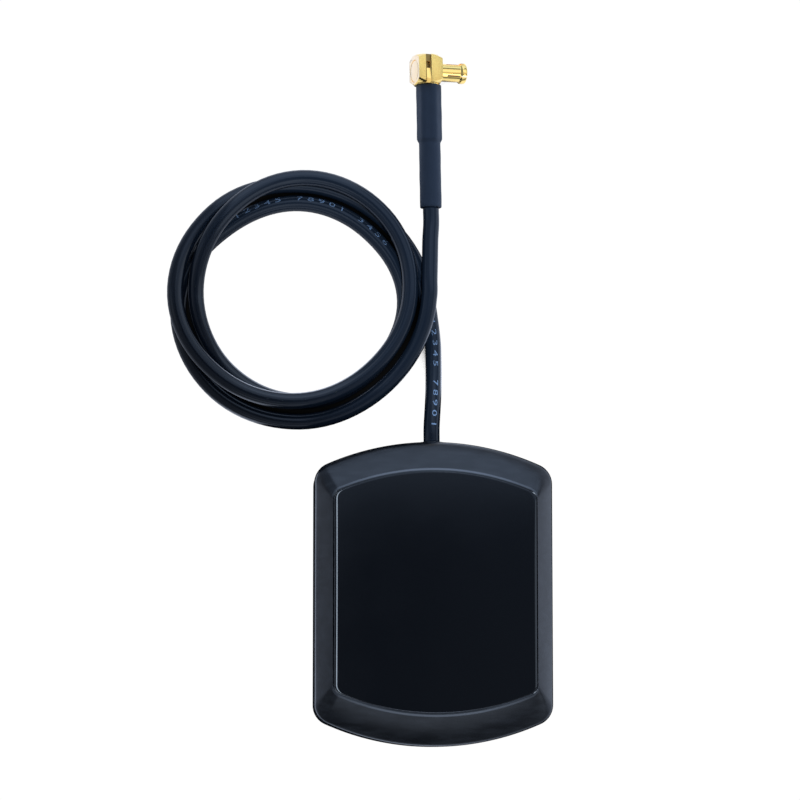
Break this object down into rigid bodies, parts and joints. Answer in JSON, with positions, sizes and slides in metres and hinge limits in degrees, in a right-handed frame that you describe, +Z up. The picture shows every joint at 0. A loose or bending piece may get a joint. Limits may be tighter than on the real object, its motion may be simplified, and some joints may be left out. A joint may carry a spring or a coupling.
{
  "type": "gnss receiver antenna",
  "caption": "Low black magnetic-base GNSS patch antenna: bowed bevelled housing over a ceramic element, thin coax lead in a loose coil, and a gold right-angle push-fit coax plug.",
  "frame": {"origin": "centre of the housing's underside, on the surface it stands on", "axes": "+Z up, +Y along the housing towards the lead's exit, +X to the right in the picture"},
  "size_m": [0.066, 0.1202, 0.0132],
  "materials": {
    "housing_plastic": "satin gloss, moulded",
    "black_rubber": "matte",
    "nickel": "nickel plated",
    "zinc_steel": "zinc plated",
    "board_laminate": "solder resist",
    "bonding_tape": "matte",
    "silver": "fired silver",
    "ceramic": "fired ceramic",
    "tin": "tin plated",
    "chip_resin": "matte",
    "filter_body": "matte",
    "capacitor_body": "matte",
    "solder": "smooth",
    "cable_jacket": "smooth, slight gloss",
    "braid": "tinned copper",
    "dielectric": "waxy",
    "copper": "bare copper",
    "shrink_sleeve": "satin",
    "gold_plate": "gold plated, fine grain"
  },
  "bodies": {
    "root": {"top_cover": "housing_plastic", "base_tray": "housing_plastic", "seal_gasket": "black_rubber", "foot_pad": "black_rubber", "magnet": "nickel", "base_screws": "zinc_steel", "cable_grommet": "black_rubber", "lna_board": "board_laminate", "patch_tape": "bonding_tape", "ground_electrode": "silver", "patch_ceramic": "ceramic", "patch_electrode": "silver", "feed_pin": "tin", "shield_can": "tin", "lna_chip": "chip_resin", "saw_filter": "filter_body", "chip_capacitors": "capacitor_body", "solder_joints": "solder", "entry_jacket": "cable_jacket", "entry_braid": "braid", "entry_dielectric": "dielectric", "entry_core": "copper", "cable_lead": "cable_jacket", "cable_coil": "cable_jacket", "plug_lead": "cable_jacket", "plug_jacket": "cable_jacket", "plug_braid": "braid", "plug_dielectric": "dielectric", "plug_core": "copper", "heat_shrink": "shrink_sleeve", "crimp_ferrule": "gold_plate", "crimp_stem": "gold_plate", "plug_body": "gold_plate", "plug_cap": "gold_plate", "outer_contact": "gold_plate", "plug_insulator": "dielectric", "centre_pin": "gold_plate"}
  },
  "joints": []
}
